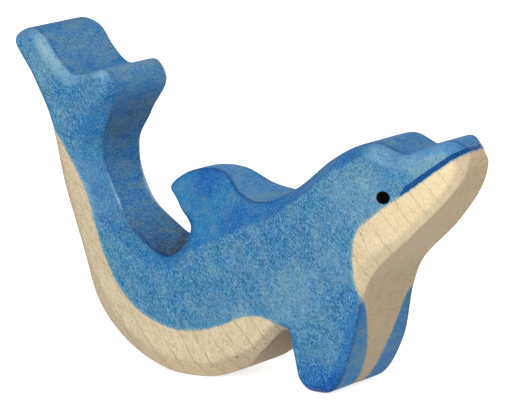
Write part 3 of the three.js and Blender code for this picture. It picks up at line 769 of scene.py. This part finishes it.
def make_paint(name, tone, thin_tone, roughness, gloss):
    """A brushed film of acrylic paint: even and opaque, but thinner, and so paler, between the marks of
    the bristles, which are drawn coarser than real ones so that they show."""
    material, tree = new_material(name)
    place = add(tree, "ShaderNodeTexCoord", out="Object")
    brush = add(tree, "ShaderNodeMapping",
                {"Vector": place, "Rotation": (0, BRISTLE_ANGLE, 0), "Scale": per(BRISTLE_SIZE, MM)})
    marks = add(tree, "ShaderNodeTexNoise", {"Vector": brush, "Scale": 1.0, "Detail": 2.0}, "Fac")
    thin = add(tree, "ShaderNodeMapRange", {"Value": marks, "From Min": 0.4, "From Max": 0.75})
    film = add(tree, "ShaderNodeMix", {0: thin, MIX_A: colour(tone), MIX_B: colour(thin_tone)},
               **COLOUR_MIX)
    rough = add(tree, "ShaderNodeMapRange",
                {"Value": marks, "To Min": roughness - BRISTLE_ROUGHNESS,
                 "To Max": roughness + BRISTLE_ROUGHNESS})
    bump = add(tree, "ShaderNodeBump", {"Height": marks, "Strength": 0.3, "Distance": PAINT_RELIEF * MM})
    shader = add(tree, "ShaderNodeBsdfPrincipled",
                 {"Base Color": film, "Roughness": rough, "Normal": bump, "Specular IOR Level": gloss})
    add(tree, "ShaderNodeOutputMaterial", {"Surface": shader})
    return material


def make_board():
    """The carved and stained board, which stands for the wood and its stain."""
    bm = carve_board()
    surface = BVHTree.FromBMesh(bm)
    places = np.array([v.co for v in bm.verts])
    profile = places[:, (0, 2)]
    layers = bm.verts.layers.float
    stain, dorsal = layers.new("stain"), layers.new("dorsal")
    tone, sanded, sawn, crease = (layers[name] for name in ("tone", "sanded", "sawn", "crease"))
    leaning = above_dorsal_line(profile)
    beside_dorsal = (dorsal_fade(profile) > DORSAL_FADE_LEAST) & (leaning < DORSAL_REACH)
    leaning = np.where(beside_dorsal, leaning, -1)
    finishes = zip(bm.verts, stain_distance(places), patch_finish(profile), leaning)
    for vert, distance, (deeper, smoother), above in finishes:
        vert[stain] = distance
        vert[tone] += deeper * (1 - vert[sawn])
        vert[sanded] = min(vert[sanded] + smoother, 1)
        vert[dorsal] = above
        # Painted highlights along the creases are kept on the right flank alone, the side that the key
        # lamp lights
        if vert.co.y > 0:
            vert[crease] = max(vert[crease], 0)
    piece = new_object("stained_board", bm, make_stained_maple())
    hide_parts("body", "blue_stain")
    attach(piece, "root")
    return surface


def make_eyes(board):
    """Two round dots of black paint, one on each cheek."""
    paint = make_paint("black_paint", "#020202", "#040404", 0.8, 0.02)
    x, z = on_profile(EYE_CENTRE)
    for name, side in (("eye_left", 1), ("eye_right", -1)):
        hit, normal, _, _ = board.ray_cast(Vector((x, side * THICKNESS, z)), Vector((0, -side, 0)))
        stretch = EYE_STRETCH / abs(normal.y)
        bm = bmesh.new()
        bmesh.ops.create_cone(bm, cap_ends=True, segments=EYE_SIDES, radius1=EYE_RADIUS,
                              radius2=EYE_RADIUS, depth=EYE_PAINT)
        rim = [e for e in bm.edges if all(v.co.z > 0 for v in e.verts)]
        bmesh.ops.bevel(bm, geom=rim, offset=EYE_PROUD, offset_type="OFFSET", affect="EDGES",
                        segments=EYE_RIM_STEPS, profile=0.5, material=-1)
        bmesh.ops.scale(bm, vec=Vector((stretch, 1, 1)), verts=bm.verts[:])
        lengthwise = Vector((0, 0, 1)).cross(normal).normalized()
        turn = Matrix((lengthwise, normal.cross(lengthwise), normal)).transposed().to_4x4()
        seat = hit + normal * (EYE_PROUD - EYE_PAINT / 2)
        bmesh.ops.transform(bm, matrix=Matrix.Translation(seat) @ turn, verts=bm.verts[:])
        piece = new_object(name + "_dot", bm, paint)
        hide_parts(name)
        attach(piece, "root")


def make_mouth(board):
    """The mouth stroke: a thin film of deep blue paint, brushed along both cheeks and round the beak's
    tip. Each place is found by a ray into the wood, at a height above the stain's edge below it."""
    cheek_x, cheek_z = spline(on_profile(CHEEK_LINE), MOUTH_STEPS).T
    corner = on_profile((MOUTH_CORNER, 0))[0]
    straight = MOUTH_TURN_X - corner
    half_run = straight + MOUTH_TURN_RUN
    bm = bmesh.new()
    bmesh.ops.create_grid(bm, x_segments=MOUTH_GRID[0], y_segments=MOUTH_GRID[1], size=1)
    number = bm.verts.layers.int.new("number")
    under = []
    for i, vert in enumerate(bm.verts):
        side = 1 if vert.co.x > 0 else -1
        run, across = (1 - abs(vert.co.x)) * half_run, (vert.co.y + 1) / 2
        x = corner + min(run, straight)
        angle = max(run - straight, 0) / MOUTH_TURN_RUN * math.pi / 2
        way = Vector((-math.sin(angle), -side * math.cos(angle), 0))
        brush = 1 + WIDTH_UNEVEN * noise.noise(Vector((run / WIDTH_UNEVEN_LENGTH, side * WIDTH_SEED, 0)))
        wave = noise.noise(Vector((run / EDGE_RAGGED_LENGTH, side * EDGE_SEED, EDGE_LAYER)))
        swell = min(1, MOUTH_START + run * MOUTH_SWELL)
        width = MOUTH_WIDTH * brush * swell * (1 - MOUTH_TIP_THINNING * angle)
        above = MOUTH_LIFT + EDGE_RAGGED * wave * (1 - across) + width * across
        height = np.interp(x, cheek_x, cheek_z) + above
        for _ in range(MOUTH_FIT_ROUNDS):
            hit, normal, _, _ = board.ray_cast(Vector((x, 0, height)) - way * LENGTH, way)
            height = (height + np.interp(hit.x, cheek_x, cheek_z) + above) / 2
        vert[number] = i
        vert.co = hit + normal * PAINT_FILM
        under.append(hit - normal * PAINT_FILM)
    made = bmesh.ops.extrude_face_region(bm, geom=bm.faces[:])["geom"]
    for vert in (g for g in made if isinstance(g, bmesh.types.BMVert)):
        vert.co = under[vert[number]]
    bmesh.ops.recalc_face_normals(bm, faces=bm.faces[:])
    piece = new_object("mouth_stroke", bm, make_paint("mouth_paint", "#0E4680", "#1F62A0", 0.5, 0.1))
    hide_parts("mouth_line")
    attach(piece, "root")


def seen_rays(tree):
    """1 for rays that are seen, straight, in gloss or through glass, and 0 for rays that only light."""
    seen = add(tree, "ShaderNodeLightPath", out="Is Camera Ray")
    for name in ("Is Glossy Ray", "Is Transmission Ray"):
        ray = add(tree, "ShaderNodeLightPath", out=name)
        seen = add(tree, "ShaderNodeMath", {0: seen, 1: ray}, operation="MAXIMUM")
    return seen


def make_floor():
    """A matt pale floor that stays white to the camera and keeps a soft shadow."""
    material, tree = new_material("studio_floor")
    glow = add(tree, "ShaderNodeMath", {0: seen_rays(tree), 1: FLOOR_GLOW}, operation="MULTIPLY")
    matt = add(tree, "ShaderNodeBsdfDiffuse", {"Color": colour("#F4F4F4")})
    lift = add(tree, "ShaderNodeEmission", {"Color": colour("#FFFFFF"), "Strength": glow})
    both = add(tree, "ShaderNodeAddShader", {0: matt, 1: lift})
    add(tree, "ShaderNodeOutputMaterial", {"Surface": both})
    bm = bmesh.new()
    bmesh.ops.create_grid(bm, x_segments=1, y_segments=1, size=FLOOR_HALF)
    bmesh.ops.translate(bm, verts=bm.verts[:], vec=(0, 0, -FLOOR_DROP))
    new_object("floor", bm, material)


def make_light():
    """A large soft key lamp near the camera, a low fill lamp behind, and an even white room."""
    world = bpy.data.worlds.new("white_room")
    bpy.context.scene.world = world
    world.use_nodes = True
    tree = world.node_tree
    tree.nodes.clear()
    level = add(tree, "ShaderNodeMapRange",
                {"Value": seen_rays(tree), "To Min": ROOM_LIGHT, "To Max": 1.0})
    room = add(tree, "ShaderNodeBackground", {"Color": colour("#FFFFFF"), "Strength": level})
    add(tree, "ShaderNodeOutputWorld", {"Surface": room})

    for name, width, watts, azimuth, elevation in LAMPS:
        data = bpy.data.lights.new(name, "AREA")
        data.shape = "DISK"
        data.size = width
        data.energy = watts
        lamp = bpy.data.objects.new(name, data)
        turn, rise = math.radians(azimuth), math.radians(elevation)
        flat = math.cos(rise)
        toward = Vector((math.sin(turn) * flat, -math.cos(turn) * flat, math.sin(rise)))
        lamp.location = toward * LAMP_REACH + Vector((0, 0, HEIGHT / 2 * MM))
        lamp.rotation_euler = toward.to_track_quat("Z", "Y").to_euler()
        bpy.context.scene.collection.objects.link(lamp)


def make_camera():
    """The photograph's camera."""
    data = bpy.data.cameras.new("camera")
    data.sensor_width = SENSOR_MM
    data.lens = SENSOR_MM * FOCAL_PIXELS / PHOTO_WIDTH
    camera = bpy.data.objects.new("camera", data)
    camera.location = CAMERA_PLACE
    camera.rotation_euler = (math.radians(90 - CAMERA_ELEVATION), 0, math.radians(CAMERA_AZIMUTH))
    bpy.context.scene.collection.objects.link(camera)
    bpy.context.scene.camera = camera


make_camera()
board_surface = make_board()
make_eyes(board_surface)
make_mouth(board_surface)
make_floor()
make_light()
bpy.context.scene.view_settings.view_transform = "Standard"
